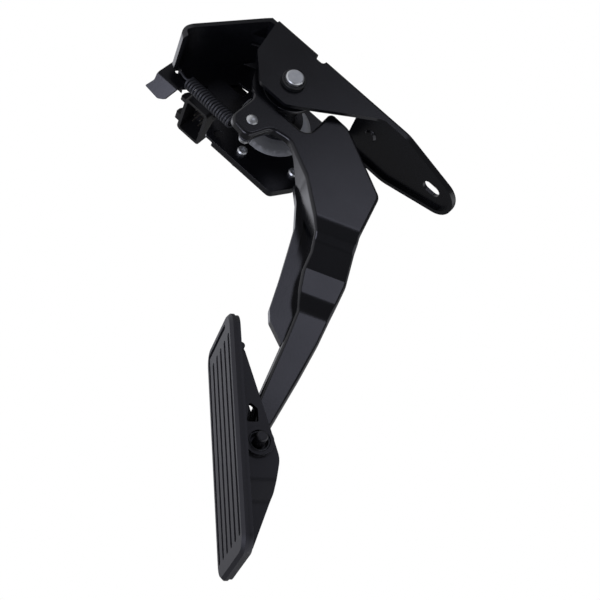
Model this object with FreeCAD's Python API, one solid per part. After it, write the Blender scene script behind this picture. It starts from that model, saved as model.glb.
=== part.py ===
# Suspended electronic accelerator pedal with a rotary position sensor.
# A folded steel bracket bolts to the firewall and carries the pivot shaft. A pressed arm swings on it
# against an extension spring, and a ribbed pad tilts on the arm's end. The sensor on the far side
# reads the shaft's angle.
#
# Frame: +X to the firewall, +Y across the car away from the near side plate, +Z up along the firewall.
# The origin is on the mounting face, midway between the two mounting slots.
# Outlines are drawn about the pivot axis (x, z) with y from the near side plate's outer face,
# and every piece is shifted to the mount frame when it is written.
import math
import os

import FreeCAD
import Part
from FreeCAD import Vector

os.makedirs("parts", exist_ok=True)

# Bracket, mm
SHEET = 2.5                  # thickness of the bracket's steel sheet
SHEET_BEND = 2.2             # outer radius of its folds
PIVOT_TO_FACE = 27.0         # pivot axis to the mounting face
BRACKET_WIDTH = 44.0         # near side plate's outer face to the far edge
SLOT_WIDTH = 7.0
SLOT_LENGTH = 11.5
SLOT_SPACING = 112.0         # between the two mounting slots
LOWER_SLOT_Z = -92.4         # ear slot below the pivot
EAR_RADIUS = 12.5            # round end of the lower ear
EAR_CENTRE_Z = -96.5
EAR_SHOULDER_Z = -66.0       # where the ear starts to narrow
EAR_TOP_Z = -33.7            # upper edge of the lower base plate
EAR_LIP = 5.0                # height of the lip round the ear, with the sheet
UPPER_BASE_BOTTOM_Z = 3.5
ROOF_START_Z = 38.0          # the roof leaves the upper base plate here
ROOF_LENGTH = 52.6
ROOF_NEAR_Y = 3.2            # roof's near edge at the bend
ROOF_TAPER = 3.5             # how far that edge runs away towards the driver
ROOF_CORNER = 9.0
ROOF_ANGLE = 35.0            # rise of the roof towards the driver, degrees
ROOF_LIP = 6.5               # down-turned lip at the roof's driver end
STRIP_DEPTH = 16.0           # flange that hangs from the roof's far edge
TAB_BEND = 50.0              # turn of the spring tab's end, degrees
DIMPLE_RADIUS = 4.0          # stiffening dimple in the lower base plate
DIMPLE_HEIGHT = 1.2
HOOK_HOLE_RADIUS = 2.0       # hole in the spring tab
STOP_PLUG_RADIUS = 3.0       # idle stop's plug in the upper base plate
STOP_Y = 8.5
STOP_Z = 11.5

# Pivot, mm
SHAFT_RADIUS = 5.25
SHAFT_PROUD = 5.0            # shaft end proud of the near side plate
SHAFT_CHAMFER = 0.8
RUNNING_GAP = 0.05           # radial clearance of the shaft in its bushes
BUSH_WALL = 1.6
BUSH_FLANGE = 2.0            # radial width of a bush flange
BUSH_FLANGE_THICKNESS = 1.5
HUB_RADIUS = 15.8            # end flanges of the hub spool
HUB_NECK_RADIUS = 10.0
HUB_FLANGE = 3.0
HUB_END_GAP = 0.6            # axial play between the hub and each bush flange

# Sensor, mm
PLATE_SHEET = 2.0
PLATE_RIM = 5.0              # depth of the sensor plate's folded rim
CAP_RADIUS = 21.5            # bearing cap in front of the sensor plate
CAP_BEVEL = 3.0
CAP_PROUD = 2.0              # cap's face in front of the sensor plate
RELIEF_RADIUS = 4.5          # round relief beside the cap in the sensor plate
CAP_SPIGOT_RADIUS = 13.3     # cap's spigot through the sensor plate, inside the housing's can
HOUSING_RADIUS = 15.6        # can of the sensor housing
HOUSING_DEPTH = 13.0         # can behind the sensor plate
HOUSING_FLANGE = 4.0
COVER_THICKNESS = 2.0
COVER_STEP = 1.5             # lid's locating step inside the can
COVER_RAISE = 0.8            # raised middle of the lid
COVER_BORDER = 3.5
PEG_RADIUS = 2.5             # housing's locating peg in the sensor plate
SCREW_HEAD_RADIUS = 3.0
SCREW_HEAD_HEIGHT = 2.6
SCREW_RADIUS = 1.75
SCREW_LENGTH = 8.0
SOCKET_DEPTH = 12.0          # connector cavity
PIN_PITCH_Y = 5.4
PIN_PITCH_Z = 4.6
PIN_SIDE = 1.0
ROTOR_RADIUS = 9.0
ROTOR_DEPTH = 3.4
MAGNET_RADIUS = 6.0
MAGNET_DEPTH = 1.8
BOARD_THICKNESS = 1.6

# Arm, mm
ARM_Y = 6.0                  # arm's near face at the hub
ARM_SHEET = 2.5
ARM_FLANGE = 4.5             # folded edge of the arm at the hub, with the sheet
ARM_JOG = 12.5               # the lower arm lies this much further from the near side
ARM_DEPTH = 14.0             # depth of the lower arm's channel
ARM_EDGE_ROUND = 1.9         # draw radius of the arm's near edges
BRIM_Y = 24.0                # stiffening brim on the driver's side of the arm
BRIM_STEP = 1.6
SPRING_PIN_RADIUS = 3.3
SPRING_PIN_HEAD = 1.6
SPRING_PIN_STEM = 2.4

# Return spring, mm
SPRING_RADIUS = 4.2          # outside radius of the coil
SPRING_WIRE = 1.7
SPRING_COILS = 18
SPRING_HOOK_Y = 20.5         # where the lower hook sits on its pin

# Pad, mm
PAD_ANGLE = 45.0             # pad's long axis below the driver's direction, degrees
PAD_LENGTH = 125.0
PAD_WIDTH = 54.0
PAD_TREAD = 3.3
PAD_CORNER = 9.0
PAD_EDGE_CHAMFER = 1.6
PAD_CENTRE_Y = 25.5
GROOVE_PITCH = 8.6
GROOVE_WIDTH = 3.2
GROOVE_DEPTH = 2.2
CARRIER_PLATE = 2.2
CARRIER_INSET = 0.7          # carrier's edge inside the tread's
CHEEK_STEP = 4.0             # lower part of a cheek set in by this much
CHEEK_THICKNESS = 3.0
CARRIER_RIB = 2.0            # cross ribs between the cheeks
CHEEK_GAP = 1.0              # between the arm's end and a cheek
PAD_PIN_RADIUS = 3.0
PAD_PIN_PROUD = 6.0          # pin's end in front of the boss
PAD_BOSS_RADIUS = 7.5
PAD_BOSS_HEIGHT = 2.2
PAD_RECESS_DEPTH = 3.6
PAD_RECESS_RADIUS = 5.6

# Places of what the bracket and arm carry, about the pivot
SPRING_PIN = (-33.3, -0.4)
SENSOR_SCREWS = [(-28.9, 0.0), (-16.7, -28.9), (19.0, 19.0)]
LOCATING_PEG = (-30.4, 16.7)
PAD_PIN_ALONG = 208.7        # pad pin along the pad's long axis, from the pivot
PAD_PIN_BEHIND = 14.8        # pad pin behind the tread's front face
PAD_FACE = 44.1              # tread's front face from the pivot, square to the pad
PAD_TOP = 143.8              # top end of the pad along its long axis
STOP_FACE_X = 21.8           # where the arm's tail meets the idle stop
STOP_GAP = 0.05
SOCKET_X = -22.7             # connector's open face
SOCKET_GAP = 1.5             # connector behind the strip
SOCKET_Z = 30.4
SOCKET_BLOCK = 32.0
SOCKET_WIDTH = 29.0
SOCKET_HEIGHT = 17.4
SOCKET_WALL = 2.0
SOCKET_ROUND = 2.6
BRACE_DROP = 12.0            # brace under the connector's overhang
BRACE_THICKNESS = 2.5
KEY_WIDTH = 1.6              # key ribs on the connector's floor
KEY_HEIGHT = 1.5
RAIL_HEIGHT = 3.6            # latch rails on the connector's top
RAILS = [(0.08, 3.2), (0.6, 6.0)]

# Worked out from the driving sizes
SPRING_TOP = Vector(-15.0, BRACKET_WIDTH + 0.5 * SHEET, 62.0)
BASE_X = PIVOT_TO_FACE - SHEET
MID_Y = BRACKET_WIDTH / 2
UPPER_SLOT_Z = LOWER_SLOT_Z + SLOT_SPACING
MOUNT_Z = (LOWER_SLOT_Z + UPPER_SLOT_Z) / 2
TO_MOUNT = Vector(-PIVOT_TO_FACE, -MID_Y, -MOUNT_Z)
LOWER_ARM_Y = ARM_Y + ARM_JOG
PLATE_Y = BRACKET_WIDTH - PLATE_SHEET
SOCKET_Y = BRACKET_WIDTH + SHEET + SOCKET_GAP
BUSH_RADIUS = SHAFT_RADIUS + RUNNING_GAP + BUSH_WALL
NEAR_BUSH_END = SHEET + BUSH_FLANGE_THICKNESS
FAR_BUSH_START = PLATE_Y - CAP_PROUD - BUSH_FLANGE_THICKNESS
ROTOR_Y = PLATE_Y + PLATE_SHEET + 2.4
PAD_PIN_N = PAD_FACE - PAD_PIN_BEHIND
NEAR_CHEEK_Y = LOWER_ARM_Y - CHEEK_GAP - CHEEK_THICKNESS
FAR_CHEEK_Y = LOWER_ARM_Y + ARM_DEPTH + CHEEK_GAP
SCREW_BOSS = SCREW_LENGTH - HOUSING_FLANGE
Y_AXIS = Vector(0, 1, 0)


def outline(corners, y=0.0):
    """Closed wire through (x, z, round) corners in the plane at y, each corner rounded by its radius."""
    places = [Vector(x, y, z) for x, z, _ in corners]
    starts, ends, arcs = [], [], []
    for i, (_, _, radius) in enumerate(corners):
        here = places[i]
        to_last = (places[i - 1] - here).normalize()
        to_next = (places[(i + 1) % len(places)] - here).normalize()
        half = to_last.getAngle(to_next) / 2
        reach = radius / math.tan(half)
        start, end = here + to_last * reach, here + to_next * reach
        middle = (to_last + to_next).normalize()
        top = here + middle * (radius / math.sin(half) - radius)
        starts.append(start)
        ends.append(end)
        arcs.append(Part.Arc(start, top, end).toShape() if radius else None)
    edges = []
    for i, arc in enumerate(arcs):
        if arc:
            edges.append(arc)
        following = starts[(i + 1) % len(starts)]
        if (following - ends[i]).Length > 1e-6:
            edges.append(Part.makeLine(ends[i], following))
    return Part.Wire(edges)


def slab(wire, depth, direction=Y_AXIS):
    """Solid of a closed wire pushed along a direction."""
    return Part.Face(wire).extrude(direction * depth)


def plate(corners, y, depth):
    """Plate parallel to the side plate, from y to y + depth."""
    return slab(outline(corners, y), depth)


def inset(wire, distance):
    """The wire moved inwards by a distance."""
    return Part.Face(wire).makeOffset2D(-distance, join=2).OuterWire


def rod(radius, y, depth, x=0.0, z=0.0):
    """Cylinder along the pivot's direction."""
    return Part.makeCylinder(radius, depth, Vector(x, y, z), Y_AXIS)


def upright(corners, x, depth):
    """Plate parallel to the firewall from (y, z, round) corners, from x to x + depth."""
    shape = slab(outline(corners), depth)
    shape.rotate(Vector(0, 0, 0), Vector(0, 0, 1), 90)
    shape.translate(Vector(x + depth, 0, 0))
    return shape


def mounting_bracket():
    """Folded sheet: near side plate, two base plates, roof, hanging strip and spring tab."""
    side = plate([(PIVOT_TO_FACE, 34, 0), (0.2, 27.3, 3), (-15, 12, 6), (-15, -7, 4), (-9.7, -13.6, 4),
                  (11.2, -36.9, 30), (20, -47, 8), (PIVOT_TO_FACE, -60, 0)], 0, SHEET)
    top = UPPER_BASE_BOTTOM_Z
    relief = plate([(PIVOT_TO_FACE + 1, top, 0), (PIVOT_TO_FACE - 4, top, 2), (PIVOT_TO_FACE - 4, -3, 2),
                    (PIVOT_TO_FACE + 1, -3, 0)], -1, SHEET + 2)
    drop = EAR_SHOULDER_Z - EAR_CENTRE_Z
    taper = math.atan2(MID_Y, drop) - math.asin(EAR_RADIUS / math.hypot(MID_Y, drop))
    half = MID_Y - (drop + EAR_RADIUS) * math.tan(taper)
    tip = EAR_CENTRE_Z - EAR_RADIUS
    ear = [(0, EAR_TOP_Z, 0), (BRACKET_WIDTH, EAR_TOP_Z, 0), (BRACKET_WIDTH, EAR_SHOULDER_Z, 20),
           (MID_Y + half, tip, 0.98 * EAR_RADIUS), (MID_Y - half, tip, 0.98 * EAR_RADIUS),
           (0, EAR_SHOULDER_Z, 20)]
    tray = upright(ear, PIVOT_TO_FACE - EAR_LIP, EAR_LIP)
    inner = Part.Face(outline(ear)).makeOffset2D(-SHEET, join=2).OuterWire
    hollow = slab(inner, EAR_LIP - SHEET)
    hollow.rotate(Vector(0, 0, 0), Vector(0, 0, 1), 90)
    hollow.translate(Vector(PIVOT_TO_FACE - SHEET, 0, 0))
    open_top = Part.makeBox(EAR_LIP - SHEET, BRACKET_WIDTH - 2 * SHEET, 2 * SHEET,
                            Vector(PIVOT_TO_FACE - EAR_LIP, SHEET, EAR_TOP_Z - SHEET))
    upper = Part.makeBox(SHEET, BRACKET_WIDTH, ROOF_START_Z - UPPER_BASE_BOTTOM_Z,
                         Vector(BASE_X, 0, UPPER_BASE_BOTTOM_Z))
    ear = tray.cut([hollow, open_top])
    shape = side.cut(relief).fuse([ear, upper, roof(), spring_tab(), bend_gusset(), dimple()])
    shape = shape.removeSplitter()
    shape = shape.makeFillet(min(SHEET_BEND, 0.9 * SHEET), fold_edges(shape))
    corner = Part.makeBox(10, ROOF_NEAR_Y + 1, 20, Vector(PIVOT_TO_FACE - 8, -1, ROOF_START_Z - 5))
    shape = shape.cut(corner)
    holes = [mounting_slot(z) for z in (LOWER_SLOT_Z, UPPER_SLOT_Z)]
    holes.append(rod(SHAFT_RADIUS + RUNNING_GAP + BUSH_WALL, -1, SHEET + 2))
    holes.append(rod(HOOK_HOLE_RADIUS, BRACKET_WIDTH - 1, SHEET + 2, SPRING_TOP.x, SPRING_TOP.z))
    holes.append(rod_between(Vector(BASE_X - 1, STOP_Y, STOP_Z), Vector(PIVOT_TO_FACE + 1, STOP_Y, STOP_Z),
                             STOP_PLUG_RADIUS))
    return shape.cut(holes).removeSplitter()


def fold_edges(shape):
    """Outer edges of the folds from the base plates to the side plate and from the roof to the strip."""
    folds = []
    for edge in shape.Edges:
        a, b = edge.Vertexes[0].Point, edge.Vertexes[-1].Point
        low, high = roof_point(0), roof_point(ROOF_LENGTH)
        level = [(p.x - low[0]) * (high[1] - low[1]) - (p.z - low[1]) * (high[0] - low[0]) for p in (a, b)]
        far = [p.y - BRACKET_WIDTH - SHEET for p in (a, b)]
        side = all(abs(p.x - PIVOT_TO_FACE) < 0.01 and abs(p.y) < 0.01 for p in (a, b))
        top = all(abs(v) < 0.1 for v in level) and all(abs(v) < 0.02 for v in far)
        if (side or top) and edge.Length > 4:
            folds.append(edge)
    return folds


def roof_point(along, below=0.0):
    """(x, z) on the roof: along its rise from the mounting face, and below its top."""
    rise = math.radians(ROOF_ANGLE)
    x = PIVOT_TO_FACE - along * math.cos(rise) - below * math.sin(rise)
    z = ROOF_START_Z + along * math.sin(rise) - below * math.cos(rise)
    return x, z


def roof():
    """Roof web with the down-turned lip at its driver end and the strip along its far edge."""
    web = [(*roof_point(0), 0), (*roof_point(ROOF_LENGTH), 3.5), (*roof_point(ROOF_LENGTH, ROOF_LIP), 0),
           (*roof_point(ROOF_LENGTH - SHEET, ROOF_LIP), 0), (*roof_point(ROOF_LENGTH - SHEET, SHEET), 1),
           (*roof_point(SHEET, SHEET), 0), (BASE_X, ROOF_START_Z - SHEET, 0),
           (PIVOT_TO_FACE, ROOF_START_Z - SHEET, 0)]
    body = plate(web, 0, BRACKET_WIDTH)
    strip_end = ROOF_LENGTH - 3
    plan = [(-6, ROOF_NEAR_Y, 0), (4, ROOF_NEAR_Y, 0),
            (ROOF_LENGTH + 1, ROOF_NEAR_Y + ROOF_TAPER, ROOF_CORNER),
            (ROOF_LENGTH + 1, BRACKET_WIDTH - 6, 0), (strip_end, BRACKET_WIDTH - 4, 1),
            (strip_end, BRACKET_WIDTH, 0), (-6, BRACKET_WIDTH, 0)]
    kept = slab(outline(plan), 3 * ROOF_LIP)
    rise = math.radians(ROOF_ANGLE)
    start = roof_point(0, 2 * ROOF_LIP)
    turn = FreeCAD.Matrix(-math.cos(rise), math.sin(rise), 0, start[0], 0, 0, 1, 0,
                          math.sin(rise), math.cos(rise), 0, start[1], 0, 0, 0, 1)
    kept.Placement = FreeCAD.Placement(turn)
    strip = [(*roof_point(2.2), 0), (*roof_point(strip_end), 0), (*roof_point(strip_end, STRIP_DEPTH), 0),
             (*roof_point(14.9, STRIP_DEPTH), 3), (*roof_point(2.2, 4.4), 0)]
    return body.common(kept).fuse(plate(strip, BRACKET_WIDTH - 0.01, SHEET + 0.01))


def spring_tab():
    """End of the strip beyond the roof, turned away at its tip, with the hole for the spring's hook."""
    root = roof_point(ROOF_LENGTH - 3)
    foot = roof_point(ROOF_LENGTH - 3, STRIP_DEPTH)
    bend_x = -23.5
    flat = plate([(root[0] + 3.4, root[1] - 3, 0), (root[0] + 3.4, root[1] + 2, 1), (bend_x, 69, 0),
                  (bend_x, 51, 0), (*foot, 0)], BRACKET_WIDTH, SHEET)
    reach = 10.2
    flag = [(bend_x, 69, 0), (bend_x - 4, 68.2, 3), (bend_x - reach, 70.6, 0.6),
            (bend_x - reach - 1, 60, 3), (bend_x - 9, 56.5, 2), (bend_x, 54, 0)]
    flag = plate(flag, BRACKET_WIDTH, SHEET)
    axis = Vector(bend_x, BRACKET_WIDTH + SHEET, 0)
    flag.rotate(axis, Vector(0, 0, 1), -TAB_BEND)
    fold = rod_between(axis + Vector(0, 0, 54), axis + Vector(0, 0, 69), SHEET)
    wedge = fold.common(Part.makeBox(2 * SHEET, SHEET, 20, Vector(bend_x - SHEET, BRACKET_WIDTH, 52)))
    return flat.fuse([flag, wedge])


def bend_gusset():
    """Stiffening rib pressed into the bend between the roof and the upper base plate."""
    size = 9
    corner = roof_point(SHEET, SHEET)
    points = [(BASE_X, corner[1] - size, 0), (BASE_X, corner[1] + 0.5, 0),
              (*roof_point(size + SHEET, SHEET - 0.5), 0)]
    return plate(points, MID_Y - 8, 6)


def mounting_slot(z):
    """Slot through a base plate, long along the firewall's height."""
    half = (SLOT_LENGTH - SLOT_WIDTH) / 2
    r = SLOT_WIDTH / 2
    ends = [Part.makeCylinder(r, SHEET + 2, Vector(BASE_X - 1, MID_Y, z + side * half), Vector(1, 0, 0))
            for side in (-1, 1)]
    middle = Part.makeBox(SHEET + 2, SLOT_WIDTH, 2 * half, Vector(BASE_X - 1, MID_Y - r, z - half))
    return ends[0].fuse([ends[1], middle])


def dimple():
    """Stiffening dimple pressed into the lower base plate."""
    return Part.makeCone(DIMPLE_RADIUS, DIMPLE_RADIUS - 1, DIMPLE_HEIGHT,
                         Vector(BASE_X, MID_Y, EAR_TOP_Z - 12.6), Vector(-1, 0, 0))


def rod_between(start, end, radius):
    """Cylinder from one point to another."""
    return Part.makeCylinder(radius, (end - start).Length, start, end - start)


def sensor_plate():
    """Pressed plate between the strip and the base plates, with a rim folded away on two edges."""
    back = PLATE_Y + PLATE_SHEET
    low = -35.7
    edge = [(-36.5, 21.5, 2), (-27, 24.5, 3), (-13, 24.5, 2), (-13, 43, 3), (0, 43, 3), (0, 24.5, 2),
            (7, 25.5, 1), (5.2, ROOF_START_Z - 4, 1.5), (BASE_X, ROOF_START_Z - SHEET, 0),
            (BASE_X, EAR_TOP_Z + 0.7, 0), (17, EAR_TOP_Z + 0.7, 0), (14, low, 1), (-23.7, low, 4),
            (-36.5, -28.5, 4)]
    flat = plate(edge, PLATE_Y, PLATE_SHEET)
    whole = plate(edge, back, PLATE_RIM - PLATE_SHEET)
    kept = plate([(-40, 16, 0), (-34.5, 16, 0), (-34.5, -26.5, 3), (-23.2, low + PLATE_SHEET, 3),
                  (10, low + PLATE_SHEET, 0), (10, low - 4, 0), (-40, low - 4, 0)], back, PLATE_RIM)
    holes = [rod(CAP_SPIGOT_RADIUS, PLATE_Y - 1, PLATE_SHEET + 2),
             rod(RELIEF_RADIUS, PLATE_Y - 1, PLATE_SHEET + 2, -19, 5),
             rod(PEG_RADIUS, PLATE_Y - 1, PLATE_SHEET + 2, *LOCATING_PEG)]
    holes += [rod(SCREW_RADIUS, PLATE_Y - 1, PLATE_SHEET + 2, x, z) for x, z in SENSOR_SCREWS]
    return flat.fuse(whole.common(kept)).cut(holes).removeSplitter()


def bearing_cap():
    """Disc in front of the sensor plate with a bevelled rim, and a spigot that centres it."""
    front = PLATE_Y - CAP_PROUD
    bevel = min(CAP_BEVEL, 0.9 * CAP_PROUD)
    disc = rod(CAP_RADIUS, front + bevel, CAP_PROUD - bevel)
    rim = Part.makeCone(CAP_RADIUS - CAP_BEVEL, CAP_RADIUS, bevel, Vector(0, front, 0), Y_AXIS)
    spigot = rod(CAP_SPIGOT_RADIUS, PLATE_Y, PLATE_SHEET + 1.5)
    notch = rod(2.0, front - 1, CAP_PROUD + 0.5, -5, -CAP_RADIUS)
    bore = rod(BUSH_RADIUS, front - 1, CAP_PROUD + PLATE_SHEET + 4)
    return disc.fuse([rim, spigot]).cut([bore, notch]).removeSplitter()


def bush(start, length, flange_at):
    """Flanged bush for the pivot shaft."""
    flange = rod(BUSH_RADIUS + BUSH_FLANGE, flange_at, BUSH_FLANGE_THICKNESS)
    sleeve = rod(BUSH_RADIUS, start, length)
    return sleeve.fuse(flange).cut(rod(SHAFT_RADIUS + RUNNING_GAP, start - 1, length + 5)).removeSplitter()


def pivot_shaft():
    """Shaft that turns with the arm; its far end has a flat for the rotor."""
    length = ROTOR_Y - 0.2 + SHAFT_PROUD
    body = rod(SHAFT_RADIUS, -SHAFT_PROUD + SHAFT_CHAMFER, length - SHAFT_CHAMFER)
    tip = Part.makeCone(SHAFT_RADIUS - SHAFT_CHAMFER, SHAFT_RADIUS, SHAFT_CHAMFER,
                        Vector(0, -SHAFT_PROUD, 0), Y_AXIS)
    return body.fuse([tip, flatted_end(ROTOR_DEPTH + 0.2)]).removeSplitter()


def flatted_end(length):
    """Reduced shaft end with one flat, up to the rotor's rear face."""
    end = ROTOR_Y + ROTOR_DEPTH
    radius = 0.57 * SHAFT_RADIUS
    flat = Part.makeBox(20, length + 1, 20, Vector(-10, end - length - 0.5, 0.6 * radius))
    return rod(radius, end - length, length).cut(flat)


def hub_spool():
    """Spool between the two bushes, pressed on the shaft and welded into the arm's ring."""
    start = NEAR_BUSH_END + HUB_END_GAP
    end = FAR_BUSH_START - HUB_END_GAP
    body = rod(HUB_NECK_RADIUS, start, end - start)
    near = rod(HUB_RADIUS, ARM_Y, HUB_FLANGE)
    far = rod(HUB_RADIUS - 1, end - 2 - HUB_FLANGE, HUB_FLANGE)
    return body.fuse([near, far]).cut(rod(SHAFT_RADIUS, start - 1, end - start + 2)).removeSplitter()


# Offset of the arm's near face: along the run, as a share of the whole offset, and the bend's radius
ARM_JOGGLE = [(-60, 0, 0), (74, 0, 12), (81.5, 0.17, 4), (85.5, 0.44, 4), (101.5, 0.73, 2), (117, 0.76, 8),
              (125, 1, 12), (270, 1, 0)]
ARM_LEAN = 25.54             # fall of the arm's run towards the driver, degrees


def arm_prism(near_shift, back):
    """Solid across the arm between its near face, shifted, and a back profile along the run."""
    near = [(s, ARM_Y + share * ARM_JOG + near_shift, bend) for s, share, bend in ARM_JOGGLE]
    band = slab(outline(near + back), 300)
    lean = math.radians(ARM_LEAN)
    along = Vector(-math.cos(lean), 0, -math.sin(lean))
    across = Vector(-math.sin(lean), 0, math.cos(lean))
    turn = FreeCAD.Matrix(along.x, across.x, 0, -150 * across.x, 0, 0, 1, 0,
                          along.z, across.z, 0, -150 * across.z, 0, 0, 0, 1)
    band.Placement = FreeCAD.Placement(turn)
    return band


def near_rim(shape):
    """Edges between the arm's near face and its side walls, away from the hub."""
    rim = []
    for edge in shape.Edges:
        lowest = [face.normalAt(*face.Surface.parameter(edge.CenterOfMass)).y
                  for face in shape.ancestorsOfType(edge, Part.Face)]
        middle = edge.CenterOfMass
        if min(lowest) < -0.4 and max(map(abs, lowest)) >= 0.4 and min(map(abs, lowest)) < 0.1:
            if math.hypot(middle.x, middle.z) > HUB_RADIUS + 3:
                rim.append(edge)
    return rim


def pedal_arm():
    """Pressed arm: ring round the hub, lug for the spring, channel with a brim, end for the pad's pin."""
    edge = outline([(-9, 17, 1), (-22, 9.5, 4), (-41.5, 9.5, 6), (-43.5, -6, 6), (-29, -11, 6),
                    (-26.5, -22, 8), (-37, -43, 20), (-58, -69, 14), (-66, -74, 8), (-77, -78, 14),
                    (-87, -84, 12), (-95, -91, 10), (-113, -98, 16), (-150, -111.2, 14),
                    (-177.3, -127.9, 5.5), (-167.7, -137.4, 5.5), (-157.4, -126.1, 8), (-125.3, -118.5, 14),
                    (-103, -112.6, 20), (-66.5, -100.9, 20), (-42.5, -87.6, 14), (-15.0, -79.2, 6),
                    (6.2, -39.2, 12), (6.6, -25.3, 3), (-16.5, -27, 6), (-16.5, 4, 0)])
    far = LOWER_ARM_Y + ARM_DEPTH
    skin = slab(edge, 60).common(arm_prism(0, [(270, far, 0), (58, far, 6), (40, ARM_Y + ARM_FLANGE, 6),
                                               (-60, ARM_Y + ARM_FLANGE, 0)]))
    skin = skin.makeFillet(min(ARM_EDGE_ROUND, 0.85 * ARM_SHEET), near_rim(skin))
    hollow = slab(inset(edge, ARM_SHEET), 60).common(arm_prism(ARM_SHEET, [(270, 80, 0), (-60, 80, 0)]))
    ring = rod(HUB_RADIUS + 5.7, ARM_Y, HUB_FLANGE).common(Part.makeBox(60, 60, 40, Vector(-30, 0, -4)))
    tail = plate([(8, 19, 0), (STOP_FACE_X, STOP_Z + 5, 2), (STOP_FACE_X, STOP_Z - 3.5, 1), (15, 6, 0)],
                 ARM_Y, ARM_FLANGE)
    pin_x, pin_z = pad_point(PAD_PIN_ALONG, PAD_PIN_N)
    boss = rod(5.0, LOWER_ARM_Y + 0.5, ARM_DEPTH - 0.5, pin_x, pin_z)
    shape = skin.cut(hollow).fuse([ring, tail, brim(), boss])
    holes = [rod(HUB_RADIUS, ARM_Y - 1, 12), rod(SPRING_PIN_STEM, ARM_Y - 1, 8, *SPRING_PIN),
             rod(PAD_PIN_RADIUS, LOWER_ARM_Y - 1, ARM_DEPTH + 2, pin_x, pin_z)]
    return shape.cut(holes).removeSplitter()


def brim():
    """Stiffening brim on the driver's side of the channel, with a raised band along its edge."""
    edge = [(-35.7, -39.2, 0), (-43.4, -47.5, 5), (-56.2, -57.4, 5), (-68.2, -63.5, 10), (-85.9, -72.3, 10),
            (-104, -80.7, 5), (-109, -85.3, 3), (-114.5, -98, 0), (-112, -100, 0), (-95, -92.6, 0),
            (-87, -85.6, 0), (-77, -79.6, 0), (-66, -75.6, 0), (-58, -70.6, 0), (-37, -45, 0)]
    band = plate(edge, BRIM_Y - BRIM_STEP, BRIM_STEP + 0.5)
    inner = band.copy()
    inner.translate(Vector(2.0, 0, -4.2))
    return plate(edge, BRIM_Y, ARM_SHEET).fuse(band.cut(inner))


def spring_pin():
    """Domed stud riveted into the arm's lug, with a groove for the spring's lower hook."""
    head = rod(SPRING_PIN_RADIUS, ARM_Y - SPRING_PIN_HEAD, SPRING_PIN_HEAD, *SPRING_PIN)
    ball = SPRING_PIN_RADIUS * 1.5
    centre = Vector(SPRING_PIN[0], ARM_Y - SPRING_PIN_HEAD + ball, SPRING_PIN[1])
    head = head.common(Part.makeSphere(ball, centre))
    stem = rod(SPRING_PIN_STEM, ARM_Y, SPRING_HOOK_Y + 4 - ARM_Y, *SPRING_PIN)
    collar = rod(SPRING_PIN_RADIUS, ARM_Y + ARM_SHEET, 2.0, *SPRING_PIN)
    tip = rod(SPRING_PIN_RADIUS, SPRING_HOOK_Y + 2.0, 2.0, *SPRING_PIN)
    return head.fuse([stem, collar, tip]).removeSplitter()


def wound_wire(path, radius):
    """Solid of a six-sided wire along a path of points."""
    steps = [(b - a).normalize() for a, b in zip(path, path[1:])]
    tangents = [steps[0]] + [(a + b).normalize() for a, b in zip(steps, steps[1:])] + [steps[-1]]
    side = steps[0].cross(Vector(0.3, 0.9, 0.2)).normalize()
    rings = []
    for at, tangent in zip(path, tangents):
        side = (side - tangent * side.dot(tangent)).normalize()
        other = tangent.cross(side)
        rings.append([at + (side * math.cos(k * math.pi / 3) + other * math.sin(k * math.pi / 3)) * radius
                      for k in range(6)])
    corners = [corner for ring in rings for corner in ring]
    faces = [(0, k + 1, k) for k in range(1, 5)]
    last = 6 * (len(rings) - 1)
    faces += [(last, last + k, last + k + 1) for k in range(1, 5)]
    for i in range(0, last, 6):
        for k in range(6):
            a, b = i + k, i + (k + 1) % 6
            faces += [(a, b, b + 6), (a, b + 6, a + 6)]
    skin = Part.Shape()
    skin.makeShapeFromMesh((corners, faces), 1e-4)
    return Part.Solid(Part.Shell(skin.Faces))


def return_spring():
    """Extension spring from the tab's hole to the stud, wound from wire, with a hook at each end."""
    wire = SPRING_WIRE / 2
    pull = Vector(SPRING_PIN[0] - SPRING_TOP.x, 0, SPRING_PIN[1] - SPRING_TOP.z).normalize()
    rest = SPRING_TOP + pull * (HOOK_HOLE_RADIUS - wire - 0.02)
    low = Vector(SPRING_PIN[0], SPRING_HOOK_Y, SPRING_PIN[1])
    axis = low - SPRING_TOP
    unit = Vector(axis).normalize()
    first, last = 0.17 * axis.Length, 0.81 * axis.Length
    turn = FreeCAD.Rotation(Vector(0, 0, 1), unit)
    count = 12 * SPRING_COILS
    coil = []
    for i in range(count + 1):
        angle = math.radians(30 * i)
        around = Vector(math.cos(angle), math.sin(angle), 0) * (SPRING_RADIUS - wire)
        coil.append(SPRING_TOP + turn.multVec(around) + unit * (first + (last - first) * i / count))
    far_y = BRACKET_WIDTH + SHEET + wire + 0.6
    top = [Vector(rest.x, far_y, rest.z) + pull * 4, Vector(rest.x, far_y, rest.z) + pull * 0.6,
           Vector(rest.x, far_y - 0.6, rest.z), Vector(rest.x, BRACKET_WIDTH - 0.6, rest.z),
           Vector(rest.x, BRACKET_WIDTH - wire - 1.0, rest.z) + pull * 0.6,
           SPRING_TOP + unit * (first - 2.5)]
    ring_radius = SPRING_PIN_STEM + 0.1 + wire
    away = Vector(-unit.x, 0, -unit.z).normalize()
    across = away.cross(Y_AXIS)
    hook = [low + (away * math.cos(math.radians(a)) + across * math.sin(math.radians(a))) * ring_radius
            for a in range(0, 301, 30)]
    return wound_wire(top + coil + [SPRING_TOP + unit * (last + 2.5)] + hook, wire)


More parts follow.
